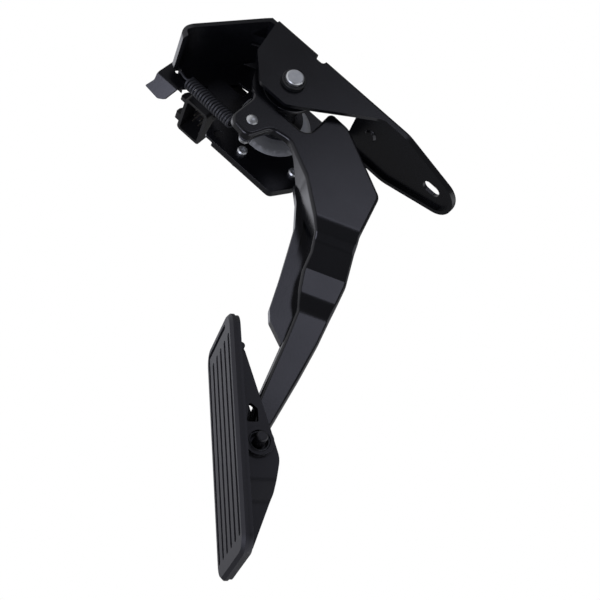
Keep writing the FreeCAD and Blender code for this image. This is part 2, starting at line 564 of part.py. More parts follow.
def sensor_housing():
    """Can round the shaft's end with three ears, a locating peg, a neck and the connector's shroud."""
    back = PLATE_Y + PLATE_SHEET
    can = rod(HOUSING_RADIUS, back, HOUSING_DEPTH)
    ears = [rod(4.4, back, HOUSING_FLANGE + SCREW_BOSS, x, z) for x, z in SENSOR_SCREWS]
    webs = [[(-31, -4, 0), (-26.5, -1.5, 0), (-12, -4, 0), (-10, -10, 0), (-22, -12, 0)],
            [(-20.5, -27.5, 0), (-12, -6, 0), (2, -10, 0), (-13, -31, 0)],
            [(15, 21, 0), (21, 15.5, 0), (12, 5, 0), (4, 13, 0)],
            [(-32.6, -1, 0), (-26.5, -1, 0), (-27.5, 19.5, 2.5), (-33.3, 19.5, 2.5)]]
    webs = [plate(corners, back, HOUSING_FLANGE) for corners in webs]
    peg = rod(PEG_RADIUS - RUNNING_GAP, PLATE_Y + 0.4, PLATE_SHEET, *LOCATING_PEG)
    foot = SOCKET_Z + 1
    neck = plate([(-8, 8, 0), (-8, foot, 0), (9, foot, 0), (9, 8, 0)], back + 4, HOUSING_DEPTH - 4)
    block = upright(frame(0, SOCKET_ROUND), SOCKET_X, SOCKET_BLOCK)
    top = SOCKET_Z + SOCKET_HEIGHT
    ramp = [(SOCKET_X + 0.5, top - 1, 0), (SOCKET_X + 0.5, top + RAIL_HEIGHT, 0.8),
            (SOCKET_X + 3.5, top + RAIL_HEIGHT, 1), (SOCKET_X + 11, top, 0), (SOCKET_X + 11, top - 1, 0)]
    rails = [plate(ramp, SOCKET_Y + at * SOCKET_WIDTH, width) for at, width in RAILS]
    brace = plate([(SOCKET_X + 5, foot, 0), (-7.5, foot, 0), (-7.5, foot - BRACE_DROP, 0)],
                  back + HOUSING_DEPTH - 4, BRACE_THICKNESS)
    shape = can.fuse(ears + webs + rails + [peg, neck, block, brace])
    cavity = upright(frame(SOCKET_WALL, SOCKET_ROUND - 1), SOCKET_X, SOCKET_DEPTH)
    floor = SOCKET_Z + SOCKET_WALL
    keys = [Part.makeBox(SOCKET_DEPTH - 2, KEY_WIDTH, KEY_HEIGHT,
                         Vector(SOCKET_X + 2, SOCKET_Y + at * SOCKET_WIDTH - KEY_WIDTH / 2, floor))
            for at in (0.26, 0.74)]
    cavity = cavity.cut(keys)
    holes = [rod(CAP_SPIGOT_RADIUS, back - 1, HOUSING_DEPTH + 2), cavity, terminal_pins()]
    holes += [rod(SCREW_RADIUS, back - 1, SCREW_LENGTH, x, z) for x, z in SENSOR_SCREWS]
    return shape.cut(holes).removeSplitter()


def frame(inside, turn):
    """(y, z, round) corners of the connector's section, or of one set inside it."""
    y0, y1 = SOCKET_Y + inside, SOCKET_Y + SOCKET_WIDTH - inside
    z0, z1 = SOCKET_Z + inside, SOCKET_Z + SOCKET_HEIGHT - inside
    return [(y0, z0, turn), (y1, z0, turn), (y1, z1, turn), (y0, z1, turn)]


def terminal_pins():
    """Connector's six blades in two rows."""
    y0 = SOCKET_Y + SOCKET_WIDTH / 2
    z0 = SOCKET_Z + SOCKET_HEIGHT / 2
    half = PIN_SIDE / 2
    places = [Vector(SOCKET_X + 4.6, y0 + column * PIN_PITCH_Y - half, z0 + row * PIN_PITCH_Z - half)
              for column in (-1, 0, 1) for row in (-0.5, 0.5)]
    blades = [Part.makeBox(SOCKET_DEPTH + 4, PIN_SIDE, PIN_SIDE, place) for place in places]
    return Part.makeCompound(blades)


def sensor_cover():
    """Lid that closes the can, with a locating step inside and a raised middle."""
    back = PLATE_Y + PLATE_SHEET + HOUSING_DEPTH
    step = rod(CAP_SPIGOT_RADIUS, back - COVER_STEP, COVER_STEP)
    step = step.cut(rod(CAP_SPIGOT_RADIUS - COVER_STEP, back - COVER_STEP - 1, COVER_STEP + 2))
    radius = HOUSING_RADIUS - COVER_BORDER
    face = Vector(0, back + COVER_THICKNESS, 0)
    middle = Part.makeCone(radius, radius - COVER_RAISE, COVER_RAISE, face, Y_AXIS)
    return rod(HOUSING_RADIUS, back, COVER_THICKNESS).fuse([step, middle]).removeSplitter()


def sensor_board():
    """Round circuit board behind the magnet, held between the can's wall and the lid's step."""
    back = PLATE_Y + PLATE_SHEET + HOUSING_DEPTH
    return rod(CAP_SPIGOT_RADIUS, back - COVER_STEP - BOARD_THICKNESS, BOARD_THICKNESS)


def sensor_rotor():
    """Disc on the shaft's flatted end."""
    return rod(ROTOR_RADIUS, ROTOR_Y, ROTOR_DEPTH).cut(flatted_end(ROTOR_DEPTH + 0.2))


def sensor_screws():
    """Three cross-recess screws that hold the housing to the sensor plate."""
    screws = []
    for x, z in SENSOR_SCREWS:
        head = Part.makeCone(SCREW_HEAD_RADIUS - 0.7, SCREW_HEAD_RADIUS, SCREW_HEAD_HEIGHT,
                             Vector(x, PLATE_Y - SCREW_HEAD_HEIGHT, z), Y_AXIS)
        stem = rod(SCREW_RADIUS, PLATE_Y, SCREW_LENGTH + PLATE_SHEET - 2, x, z)
        depth = 1.2
        cross = [Part.makeBox(3.6, depth, 0.9, Vector(x - 1.8, PLATE_Y - SCREW_HEAD_HEIGHT, z - 0.45)),
                 Part.makeBox(0.9, depth, 3.6, Vector(x - 0.45, PLATE_Y - SCREW_HEAD_HEIGHT, z - 1.8))]
        screws.append(head.fuse(stem).cut(cross).removeSplitter())
    return Part.makeCompound(screws)


def pad_point(along, out):
    """(x, z) of a point given along the pad's long axis and out along its normal."""
    lean = math.radians(PAD_ANGLE)
    x = -along * math.cos(lean) - out * math.sin(lean)
    z = -along * math.sin(lean) + out * math.cos(lean)
    return x, z


def pad_slab(corners, out, depth):
    """Slab parallel to the pad from (along, y, round) corners, from out to out + depth."""
    shape = slab(outline(corners, out), depth)
    lean = math.radians(PAD_ANGLE)
    turn = FreeCAD.Matrix(-math.cos(lean), -math.sin(lean), 0, 0, 0, 0, 1, 0,
                          -math.sin(lean), math.cos(lean), 0, 0, 0, 0, 0, 1)
    shape.Placement = FreeCAD.Placement(turn)
    return shape


def pad_slot(start, end, y0, y1, floor):
    """Round-ended groove in the tread, cut down to floor."""
    turn = 0.48 * min(end - start, y1 - y0)
    corners = [(start, y0, turn), (end, y0, turn), (end, y1, turn), (start, y1, turn)]
    return pad_slab(corners, floor, GROOVE_DEPTH + 1)


def pad_tread():
    """Rubber tread with lengthwise grooves, the farthest joined to a cross groove at the top."""
    near = PAD_CENTRE_Y - PAD_WIDTH / 2
    far = PAD_CENTRE_Y + PAD_WIDTH / 2
    end = PAD_TOP + PAD_LENGTH
    body = pad_slab([(PAD_TOP, near, PAD_CORNER), (end, near, PAD_CORNER), (end, far, PAD_CORNER),
                     (PAD_TOP, far, PAD_CORNER)], PAD_FACE - PAD_TREAD, PAD_TREAD)
    normal = Vector(-math.sin(math.radians(PAD_ANGLE)), 0, math.cos(math.radians(PAD_ANGLE)))
    front = [edge for edge in body.Edges
             if min(vertex.Point.dot(normal) for vertex in edge.Vertexes) > PAD_FACE - 0.1]
    body = body.makeChamfer(PAD_EDGE_CHAMFER, front)
    floor = PAD_FACE - GROOVE_DEPTH
    half = GROOVE_WIDTH / 2
    grooves = []
    for i in range(6):
        y = PAD_CENTRE_Y + (i - 2.5) * GROOVE_PITCH
        start = PAD_TOP + (5.0 if i == 5 else 11.8)
        grooves.append(pad_slot(start, end - 8.5, y - half, y + half, floor))
    last = PAD_CENTRE_Y + 2.5 * GROOVE_PITCH
    grooves.append(pad_slot(PAD_TOP + 3.8, PAD_TOP + 6.4, near + 11, last + half, floor))
    return body.cut(grooves).removeSplitter()


def pad_cheek(y, inwards):
    """Side cheek of the carrier; its lower part bends in towards the middle."""
    top = PAD_FACE - PAD_TREAD - 0.5 * CARRIER_PLATE
    profile = [(154, top, 0), (154, 35.5, 2), (160, 33, 6), (184, 27, 20), (203, 22.3, 12), (217, 19.0, 14),
               (234, 22.8, 14), (262, 34.6, 4), (265, top, 0)]
    side = plate([(*pad_point(s, n), r) for s, n, r in profile], 0, PAD_CENTRE_Y + PAD_WIDTH)
    step = CHEEK_STEP * inwards
    faces = [[(140, across, 0), (228, across, 8), (238, across + step, 8), (275, across + step, 0)]
             for across in (y, y + CHEEK_THICKNESS)]
    band = faces[0] + faces[1][::-1]
    return side.common(pad_slab(band, 0, PAD_FACE))


def cross_rib(along, height, step):
    """Rib under the carrier's plate from one cheek to the other, where the cheeks are set in by step."""
    near, far = NEAR_CHEEK_Y + step + 1, FAR_CHEEK_Y - step + CHEEK_THICKNESS - 1
    end = along + CARRIER_RIB
    corners = [(along, near, 0), (end, near, 0), (end, far, 0), (along, far, 0)]
    return pad_slab(corners, PAD_FACE - PAD_TREAD - 0.5 * CARRIER_PLATE - height, height)


def pad_carrier():
    """Moulded carrier under the tread: plate, two cheeks and the pin's bosses."""
    near = PAD_CENTRE_Y - PAD_WIDTH / 2 + CARRIER_INSET
    far = PAD_CENTRE_Y + PAD_WIDTH / 2 - CARRIER_INSET
    start, end = PAD_TOP + CARRIER_INSET, PAD_TOP + PAD_LENGTH - CARRIER_INSET
    back = PAD_FACE - PAD_TREAD - CARRIER_PLATE
    turn = PAD_CORNER - CARRIER_INSET
    corners = [(start, near, turn), (end, near, turn), (end, far, turn), (start, far, turn)]
    base = pad_slab(corners, back, CARRIER_PLATE)
    pin_x, pin_z = pad_point(PAD_PIN_ALONG, PAD_PIN_N)
    window = [(187, 11.5), (191, 15.5), (198, 15.5), (198, 9.5)]
    window = [(*pad_point(s, PAD_FACE - behind), 1) for s, behind in window]
    cheek = pad_cheek(NEAR_CHEEK_Y, 1).cut(plate(window, NEAR_CHEEK_Y - 1, CHEEK_THICKNESS + 2))
    other = pad_cheek(FAR_CHEEK_Y, -1)
    boss = rod(PAD_BOSS_RADIUS, NEAR_CHEEK_Y - PAD_BOSS_HEIGHT, PAD_BOSS_HEIGHT + 1, pin_x, pin_z)
    far_boss = rod(PAD_BOSS_RADIUS, FAR_CHEEK_Y + CHEEK_THICKNESS - 1, 3, pin_x, pin_z)
    knob = rod(2.0, NEAR_CHEEK_Y - 2, 3, *pad_point(157.5, 35.5))
    ribs = [cross_rib(164, 3.2, 0), cross_rib(246, 5.5, CHEEK_STEP), cross_rib(256, 3.2, CHEEK_STEP)]
    shape = base.fuse([cheek, other, boss, far_boss, knob] + ribs)
    recess = rod(PAD_RECESS_RADIUS, NEAR_CHEEK_Y - PAD_BOSS_HEIGHT - 1, PAD_RECESS_DEPTH + 1, pin_x, pin_z)
    bore = rod(PAD_PIN_RADIUS + RUNNING_GAP, NEAR_CHEEK_Y - 20, 70, pin_x, pin_z)
    return shape.cut([recess, bore]).removeSplitter()


def pad_pin():
    """Pin pressed through the arm's end, on which the pad tilts."""
    pin_x, pin_z = pad_point(PAD_PIN_ALONG, PAD_PIN_N)
    start = NEAR_CHEEK_Y - PAD_BOSS_HEIGHT - PAD_PIN_PROUD
    end = FAR_CHEEK_Y + CHEEK_THICKNESS + 4.5
    tip = Part.makeCone(PAD_PIN_RADIUS - 0.6, PAD_PIN_RADIUS, 0.6, Vector(pin_x, start, pin_z), Y_AXIS)
    return rod(PAD_PIN_RADIUS, start + 0.6, end - start - 0.6, pin_x, pin_z).fuse(tip).removeSplitter()


def pad_clip():
    """Push-on ring at the far end of the pad's pin."""
    pin_x, pin_z = pad_point(PAD_PIN_ALONG, PAD_PIN_N)
    y = FAR_CHEEK_Y + CHEEK_THICKNESS + 2.4
    return rod(5.0, y, 0.8, pin_x, pin_z).cut(rod(PAD_PIN_RADIUS, y - 1, 3, pin_x, pin_z))


def pad_spring():
    """Torsion spring in the near boss, wound from wire."""
    pin_x, pin_z = pad_point(PAD_PIN_ALONG, PAD_PIN_N)
    wire = 0.6
    start = NEAR_CHEEK_Y - PAD_BOSS_HEIGHT + PAD_RECESS_DEPTH - wire - 0.22 * 13
    radius = PAD_RECESS_RADIUS - wire
    path = [Vector(pin_x + radius * math.cos(math.radians(30 * i)), start + 0.22 * i / 2,
                   pin_z + radius * math.sin(math.radians(30 * i))) for i in range(27)]
    return wound_wire(path, wire)


def idle_stop():
    """Rubber stop on the upper base plate, where the arm's tail rests."""
    face = STOP_FACE_X + STOP_GAP
    pad = rod_between(Vector(face, STOP_Y, STOP_Z), Vector(BASE_X, STOP_Y, STOP_Z), 5.0)
    root = Vector(BASE_X, STOP_Y, STOP_Z)
    plug = rod_between(root, root + Vector(SHEET - 0.3, 0, 0), STOP_PLUG_RADIUS)
    return pad.fuse(plug).removeSplitter()


def write(name, shape):
    """Shifts a piece to the mount frame and writes it."""
    piece = shape.copy()
    piece.translate(TO_MOUNT)
    piece.exportStep(f"parts/{name}.step")
    print(name, piece.isValid(), len(piece.Solids), round(piece.Volume, 1))


write("mounting_bracket", mounting_bracket())
write("idle_stop", idle_stop())
write("near_bush", bush(-SHEET, SHEET + NEAR_BUSH_END, SHEET))
write("sensor_plate", sensor_plate())
write("bearing_cap", bearing_cap())
write("far_bush", bush(FAR_BUSH_START, CAP_PROUD + PLATE_SHEET + 3, FAR_BUSH_START))
write("pivot_shaft", pivot_shaft())
write("hub_spool", hub_spool())
write("pedal_arm", pedal_arm())
write("spring_pin", spring_pin())
write("return_spring", return_spring())
write("sensor_housing", sensor_housing())
write("terminal_pins", terminal_pins())
write("sensor_rotor", sensor_rotor())
write("rotor_magnet", rod(MAGNET_RADIUS, ROTOR_Y + ROTOR_DEPTH, MAGNET_DEPTH))
write("sensor_board", sensor_board())
write("sensor_cover", sensor_cover())
write("sensor_screws", sensor_screws())
write("pad_pin", pad_pin())
write("pad_carrier", pad_carrier())
write("pad_tread", pad_tread())
write("pad_spring", pad_spring())
write("pad_clip", pad_clip())
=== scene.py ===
import math

import bmesh
import bpy
from mathutils import Matrix, Vector


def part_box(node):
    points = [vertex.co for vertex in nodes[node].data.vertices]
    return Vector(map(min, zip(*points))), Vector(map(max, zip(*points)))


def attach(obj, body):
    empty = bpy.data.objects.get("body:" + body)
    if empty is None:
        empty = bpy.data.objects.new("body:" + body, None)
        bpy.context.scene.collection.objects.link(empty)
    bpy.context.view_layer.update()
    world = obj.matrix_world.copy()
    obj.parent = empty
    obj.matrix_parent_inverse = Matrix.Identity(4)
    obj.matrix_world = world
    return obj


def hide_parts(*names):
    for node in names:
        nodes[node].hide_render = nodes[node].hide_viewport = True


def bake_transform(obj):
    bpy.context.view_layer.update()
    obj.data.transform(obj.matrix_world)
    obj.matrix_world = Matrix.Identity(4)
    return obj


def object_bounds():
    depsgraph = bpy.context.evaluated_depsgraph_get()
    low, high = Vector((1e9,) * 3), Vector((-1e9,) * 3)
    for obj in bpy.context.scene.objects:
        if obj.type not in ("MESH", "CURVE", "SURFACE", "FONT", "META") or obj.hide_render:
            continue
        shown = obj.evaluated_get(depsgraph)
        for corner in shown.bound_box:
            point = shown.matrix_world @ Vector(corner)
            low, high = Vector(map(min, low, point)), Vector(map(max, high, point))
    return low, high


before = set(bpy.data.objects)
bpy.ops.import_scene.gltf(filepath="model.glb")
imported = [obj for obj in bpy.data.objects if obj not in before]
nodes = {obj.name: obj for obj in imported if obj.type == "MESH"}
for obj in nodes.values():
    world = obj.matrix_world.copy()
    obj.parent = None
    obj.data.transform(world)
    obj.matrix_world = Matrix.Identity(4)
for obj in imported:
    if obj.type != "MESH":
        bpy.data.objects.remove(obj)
cad_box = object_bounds()


# Mounting bracket. One blank of 2.5 mm steel, punched and folded: side plate, two base plates, roof and
# spring tab. The press leaves every edge a little round, and the whole is dipped in black paint.
def linear(code):
    """sRGB hex colour to linear RGBA."""
    parts = [int(code[i:i + 2], 16) / 255 for i in (1, 3, 5)]
    return (*[p / 12.92 if p <= 0.04045 else ((p + 0.055) / 1.055) ** 2.4 for p in parts], 1)


def add_node(tree, kind, links=None, **settings):
    """Adds a node; links maps an input's name or number to a socket or a plain value."""
    node = tree.nodes.new(kind)
    for name, value in settings.items():
        setattr(node, name, value)
    for key, value in (links or {}).items():
        socket = node.inputs[key]
        if isinstance(value, bpy.types.NodeSocket):
            tree.links.new(value, socket)
        else:
            socket.default_value = value
    return node


def empty_finish(name):
    """New material with an empty node tree."""
    material = bpy.data.materials.new(name)
    material.use_nodes = True
    material.node_tree.nodes.clear()
    return material, material.node_tree


def mottled_finish(name, fleck, detail, surface, tones=None, gloss=None, grain=None):
    """Finish that changes in flecks of a real size in metres; surface holds the shader's plain values.

    tones are the two colours that the flecks blend, gloss the two roughness values, and grain the size,
    detail, strength and depth of a fine bump.
    """
    finish, tree = empty_finish(name)
    place = add_node(tree, "ShaderNodeTexCoord").outputs["Object"]
    noise = add_node(tree, "ShaderNodeTexNoise", {"Vector": place, "Scale": 1 / fleck, "Detail": detail})
    flecks = noise.outputs["Fac"]
    links = dict(surface)
    if tones:
        blend = add_node(tree, "ShaderNodeValToRGB", {"Fac": flecks})
        for stop, code in zip(blend.color_ramp.elements, tones):
            stop.color = linear(code)
        links["Base Color"] = blend.outputs["Color"]
    if gloss:
        shine = add_node(tree, "ShaderNodeMapRange",
                         {"Value": flecks, "To Min": gloss[0], "To Max": gloss[1]})
        links["Roughness"] = shine.outputs["Result"]
    if grain:
        pits = add_node(tree, "ShaderNodeTexNoise",
                        {"Vector": place, "Scale": 1 / grain["size"], "Detail": grain["detail"]})
        bump = add_node(tree, "ShaderNodeBump",
                        {"Height": pits.outputs["Fac"], "Strength": grain["strength"],
                         "Distance": grain["depth"]})
        links["Normal"] = bump.outputs["Normal"]
    skin = add_node(tree, "ShaderNodeBsdfPrincipled", links)
    add_node(tree, "ShaderNodeOutputMaterial", {"Surface": skin.outputs["BSDF"]})
    return finish


def placed(name, data):
    """New object in the scene, at the origin."""
    piece = bpy.data.objects.new(name, data)
    bpy.context.scene.collection.objects.link(piece)
    return piece


def round_edges(piece, edge, segments=2):
    """Rounds the sharp edges to the given width and keeps flat faces flat to the light."""
    sharp_from = math.radians(35)
    bevel = piece.modifiers.new("pressed_edge", "BEVEL")
    bevel.width = edge
    bevel.segments = segments
    bevel.limit_method = "ANGLE"
    bevel.angle_limit = sharp_from
    bevel.use_clamp_overlap = True
    even = piece.modifiers.new("flat_faces_stay_flat", "WEIGHTED_NORMAL")
    even.mode = "FACE_AREA"
    even.weight = 80
    even.keep_sharp = True


weld_gap = 2e-6


def rounded_copy(node_name, piece_name, body, finish, edge, segments=2):
    """The CAD node's mesh with its loose triangles joined into faces and its sharp edges rounded."""
    nearly_flat = math.radians(0.6)
    mesh = nodes[node_name].data.copy()
    mesh.name = piece_name
    work = bmesh.new()
    work.from_mesh(mesh)
    bmesh.ops.remove_doubles(work, verts=work.verts, dist=weld_gap)
    bmesh.ops.dissolve_limit(work, angle_limit=nearly_flat, verts=work.verts, edges=work.edges)
    for face in work.faces:
        face.smooth = True
    work.to_mesh(mesh)
    work.free()
    mesh.materials.clear()
    mesh.materials.append(finish)
    piece = placed(piece_name, mesh)
    round_edges(piece, edge, segments)
    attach(piece, body)
    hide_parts(node_name)


# Electro-dipped paint: deep black and satin, with a faint orange peel and softer gloss in broad patches.
dip_paint = mottled_finish("electrodip_black_paint", fleck=0.035, detail=3.0, tones=("#07080b", "#0b0c11"),
                           gloss=(0.21, 0.3), surface={"IOR": 1.5, "Specular Tint": linear("#f6f6ff")},
                           grain={"size": 0.0016, "detail": 2.0, "strength": 0.06, "depth": 0.0002})
rounded_copy("mounting_bracket", "bracket_sheet", "bracket", dip_paint, edge=0.0006)


# Bend darts. Two ridges that the press tool sets across the fold of base plate and roof to stiffen it.
# They are part of the bracket's sheet and painted with it. Each starts as a sharp wedge and is rounded.
def new_tree(name, inputs):
    """Node tree with the named inputs and one geometry output; returns it with its inputs' sockets."""
    tree = bpy.data.node_groups.new(name, "GeometryNodeTree")
    for title, kind in inputs.items():
        tree.interface.new_socket(title, in_out="INPUT", socket_type="NodeSocket" + kind)
    tree.interface.new_socket("Result", in_out="OUTPUT", socket_type="NodeSocketGeometry")
    return tree, add_node(tree, "NodeGroupInput").outputs


def end_tree(tree, geometry, finish):
    """Makes a tree's copies real, gives them their finish and hands them out."""
    real = add_node(tree, "GeometryNodeRealizeInstances", {"Geometry": geometry})
    coated = add_node(tree, "GeometryNodeSetMaterial", {"Geometry": real.outputs[0], "Material": finish})
    add_node(tree, "NodeGroupOutput", {0: coated.outputs[0]})
    return tree


def grown_mesh(seed, tree, values, name):
    """Runs a node tree on a seed object with the named values and returns a plain mesh object."""
    modifier = seed.modifiers.new("grow", "NODES")
    modifier.node_group = tree
    for item in tree.interface.items_tree:
        if item.in_out == "INPUT" and item.name in values:
            modifier[item.identifier] = values[item.name]
    bpy.context.view_layer.update()
    evaluated = seed.evaluated_get(bpy.context.evaluated_depsgraph_get())
    mesh = bpy.data.meshes.new_from_object(evaluated)
    seed.modifiers.remove(modifier)
    bpy.data.objects.remove(seed)
    mesh.name = name
    return placed(name, mesh)


def dart_row():
    """Node tree that repeats a dart along a line."""
    tree, given = new_tree("dart_row", {"Dart": "Geometry", "Count": "Int", "Spacing": "Vector",
                                        "Finish": "Material"})
    row = add_node(tree, "GeometryNodeMeshLine", {"Count": given["Count"], "Offset": given["Spacing"]})
    copies = add_node(tree, "GeometryNodeInstanceOnPoints",
                      {"Points": row.outputs[0], "Instance": given["Dart"]})
    return end_tree(tree, copies.outputs[0], given["Finish"])


sheet = 0.0025
roof_rise = math.radians(35)
dart_count = 2
dart_reach = 0.0105
dart_width = 0.0046
dart_sunk = 0.0004
first_dart_y = 0.0005
second_dart_y = 0.0195
inner_face = cad_box[1][0] - sheet
face_slack = 1e-5
bracket_points = [vertex.co for vertex in nodes["mounting_bracket"].data.vertices]
fold_top = max(point.z for point in bracket_points if abs(point.x - inner_face) < face_slack)
fold = Vector((inner_face + dart_sunk, first_dart_y, fold_top + dart_sunk))
up_roof = Vector((-math.cos(roof_rise), 0, math.sin(roof_rise)))
half_width = Vector((0, dart_width / 2, 0))
dart_corners = [fold + up_roof * dart_reach, fold - Vector((0, 0, dart_reach)),
                fold - half_width, fold + half_width]
dart_mesh = bpy.data.meshes.new("dart_wedge")
dart_mesh.from_pydata(dart_corners, [], [(0, 1, 2), (1, 0, 3), (0, 2, 3), (1, 3, 2)])
dart_values = {"Count": dart_count, "Spacing": (0, second_dart_y - first_dart_y, 0), "Finish": dip_paint}
darts = grown_mesh(placed("dart_wedge", dart_mesh), dart_row(), dart_values, "roof_bend_darts")
darts.data.shade_smooth()
round_edges(darts, edge=0.0007, segments=3)
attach(darts, "bracket")


# Idle stop. A soft rubber button pushed through the upper base plate, which the arm's tail rests on.
# Moulded rubber is matt black and a little dusty.
def coat_node(node_name, finish):
    """Gives its finish to a CAD node that is shown as it is."""
    nodes[node_name].data.materials.clear()
    nodes[node_name].data.materials.append(finish)


stop_rubber = mottled_finish("moulded_stop_rubber", fleck=0.004, detail=4.0, tones=("#101011", "#1d1d1e"),
                             surface={"Roughness": 0.75})
coat_node("idle_stop", stop_rubber)

# Pivot bushes. Black acetal, moulded with a flange each: the near one stands out of the side plate, and
# the far one is pressed into the bearing cap. The melt's flow leaves a slight change of gloss.
acetal = mottled_finish("moulded_acetal", fleck=0.006, detail=2.0, gloss=(0.34, 0.5),
                        surface={"Base Color": linear("#111215"), "IOR": 1.48})
rounded_copy("near_bush", "near_pivot_bush", "bracket", acetal, edge=0.0004)
coat_node("far_bush", acetal)

# Sensor plate. A second pressing with a rim folded back, welded to the strip and the base plates.
# It has the same dip paint as the bracket.
rounded_copy("sensor_plate", "sensor_backing_plate", "bracket", dip_paint, edge=0.0006)

# Bearing cap. A turned aluminium disc that centres the far bush in the sensor plate.
# The lathe leaves fine rings about the pivot, and the bevel catches the light.
cap_low, cap_high = [Vector(corner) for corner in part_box("bearing_cap")]
turned, tree = empty_finish("turned_aluminium")
place = add_node(tree, "ShaderNodeTexCoord").outputs["Object"]
centred = add_node(tree, "ShaderNodeMapping", {"Vector": place, "Location": -(cap_low + cap_high) / 2})
# The real feed is about 0.15 mm; the rings are drawn 0.7 mm apart so that they show. At a scale of one,
# the wave texture repeats every twentieth of a full turn's radians.
ring_gap = 0.0007
wave_period = math.tau / 20
rings = add_node(tree, "ShaderNodeTexWave",
                 {"Vector": centred.outputs["Vector"], "Scale": wave_period / ring_gap, "Distortion": 0.4,
                  "Detail": 1.0}, wave_type="RINGS", rings_direction="Y")
ring_tone = add_node(tree, "ShaderNodeValToRGB", {"Fac": rings.outputs["Fac"]})
ring_tone.color_ramp.elements[0].color = linear("#96989d")
ring_tone.color_ramp.elements[1].color = linear("#b0b2b7")
ring_gloss = add_node(tree, "ShaderNodeMapRange",
                      {"Value": rings.outputs["Fac"], "To Min": 0.48, "To Max": 0.58})
cap_skin = add_node(tree, "ShaderNodeBsdfPrincipled",
                    {"Base Color": ring_tone.outputs["Color"], "Metallic": 0.6,
                     "Roughness": ring_gloss.outputs["Result"]})
add_node(tree, "ShaderNodeOutputMaterial", {"Surface": cap_skin.outputs["BSDF"]})
rounded_copy("bearing_cap", "sensor_bearing_cap", "bracket", turned, edge=0.0003)

# Pivot shaft and spring stud. Cold-drawn steel, turned and chamfered; the stud is set in the arm's lug.
# Bright zinc plate is pale grey with a slight cloud.
zinc = mottled_finish("bright_zinc_plate", fleck=0.0022, detail=3.0, tones=("#b4b7bc", "#d2d4d8"),
                      gloss=(0.34, 0.48), surface={"Metallic": 1.0})
rounded_copy("pivot_shaft", "pivot_shaft_bar", "pedal", zinc, edge=0.0002)
rounded_copy("spring_pin", "spring_stud", "pedal", zinc, edge=0.0007, segments=3)

# Hub spool. A turned steel spool, pressed on the shaft and welded into the arm's ring.
# It is dipped and painted with the arm.
rounded_copy("hub_spool", "hub_spool_body", "pedal", dip_paint, edge=0.0005)

# Pedal arm. One deep pressing of 2.5 mm sheet: ring, lug, joggled channel and brim.
# The draw radius rounds its near edges, and the dip paint covers it.
rounded_copy("pedal_arm", "arm_pressing", "pedal", dip_paint, edge=0.0009, segments=3)


# Return spring. Oil-hardened wire, dark grey and wound close, with a hook in the tab's hole and one round
# the stud. The coil is a spiral and the hooks are drawn curves, all swept with the round wire.
def wound_spring():
    """Node tree of a spiral and drawn hooks, swept with a round wire."""
    points_per_turn = 32
    wire_sides = 12
    tree, given = new_tree("wound_spring", {"Hooks": "Geometry", "Coil radius": "Float",
                                            "Wire radius": "Float", "Turns": "Float", "Height": "Float",
                                            "Start": "Vector", "Lean": "Rotation", "Finish": "Material"})
    spiral = add_node(tree, "GeometryNodeCurveSpiral",
                      {"Resolution": points_per_turn, "Rotations": given["Turns"],
                       "Start Radius": given["Coil radius"], "End Radius": given["Coil radius"],
                       "Height": given["Height"]})
    leaned = add_node(tree, "GeometryNodeTransform",
                      {"Geometry": spiral.outputs[0], "Translation": given["Start"],
                       "Rotation": given["Lean"]})
    both = add_node(tree, "GeometryNodeJoinGeometry")
    for path in (given["Hooks"], leaned.outputs[0]):
        tree.links.new(path, both.inputs[0])
    ring = add_node(tree, "GeometryNodeCurvePrimitiveCircle",
                    {"Resolution": wire_sides, "Radius": given["Wire radius"]})
    tube = add_node(tree, "GeometryNodeCurveToMesh",
                    {"Curve": both.outputs[0], "Profile Curve": ring.outputs[0], "Fill Caps": True})
    smooth = add_node(tree, "GeometryNodeSetShadeSmooth", {"Geometry": tube.outputs[0]})
    return end_tree(tree, smooth.outputs[0], given["Finish"])


def drawn_curve(name, routes):
    """Curve object with one smooth spline for each route of points."""
    curve = bpy.data.curves.new(name, "CURVE")
    curve.dimensions = "3D"
    for route in routes:
        spline = curve.splines.new("NURBS")
        spline.points.add(len(route) - 1)
        for point, at in zip(spline.points, route):
            point.co = (*at, 1)
        spline.order_u = 3
        spline.use_endpoint_u = True
        spline.resolution_u = 6
    return placed(name, curve)


wound_wire = mottled_finish("oil_hardened_wire", fleck=0.0012, detail=3.0, tones=("#2a2b30", "#45464d"),
                            surface={"Metallic": 0.6, "Roughness": 0.42})
spring_tree = wound_spring()
wire_radius = 0.00085
coil_outer = 0.0042
coil_radius = coil_outer - wire_radius
coil_turns = 18.0
lead_share = 0.17
wound_share = 0.64
hook_hole_x = -0.042
hook_hole_z = 0.0984
tab_near_face = -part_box("mounting_bracket")[0][1]
hook_hole = Vector((hook_hole_x, tab_near_face + sheet / 2, hook_hole_z))
stud_low, stud_high = [Vector(corner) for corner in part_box("spring_pin")]
stud_seat = (stud_low + stud_high) / 2
stud_seat.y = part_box("return_spring")[0][1] + wire_radius
reach = stud_seat - hook_hole
run = reach.normalized()
lean = run.to_track_quat("Z", "Y")
coil_start = hook_hole + reach * lead_share
coil_end = coil_start + reach * wound_share


def coil_exit(end, way):
    """Points where the wire leaves the coil: on its turn, part of a turn on, and in line with its axis."""
    part_turn = math.radians(53.13)
    rise = 0.0012
    lead_out = 0.0035
    aside = Vector((math.cos(part_turn), way * math.sin(part_turn), 0)) * coil_radius
    return [end + lean @ Vector((coil_radius, 0, 0)), end + lean @ (aside + Vector((0, 0, way * rise))),
            end + run * way * lead_out]


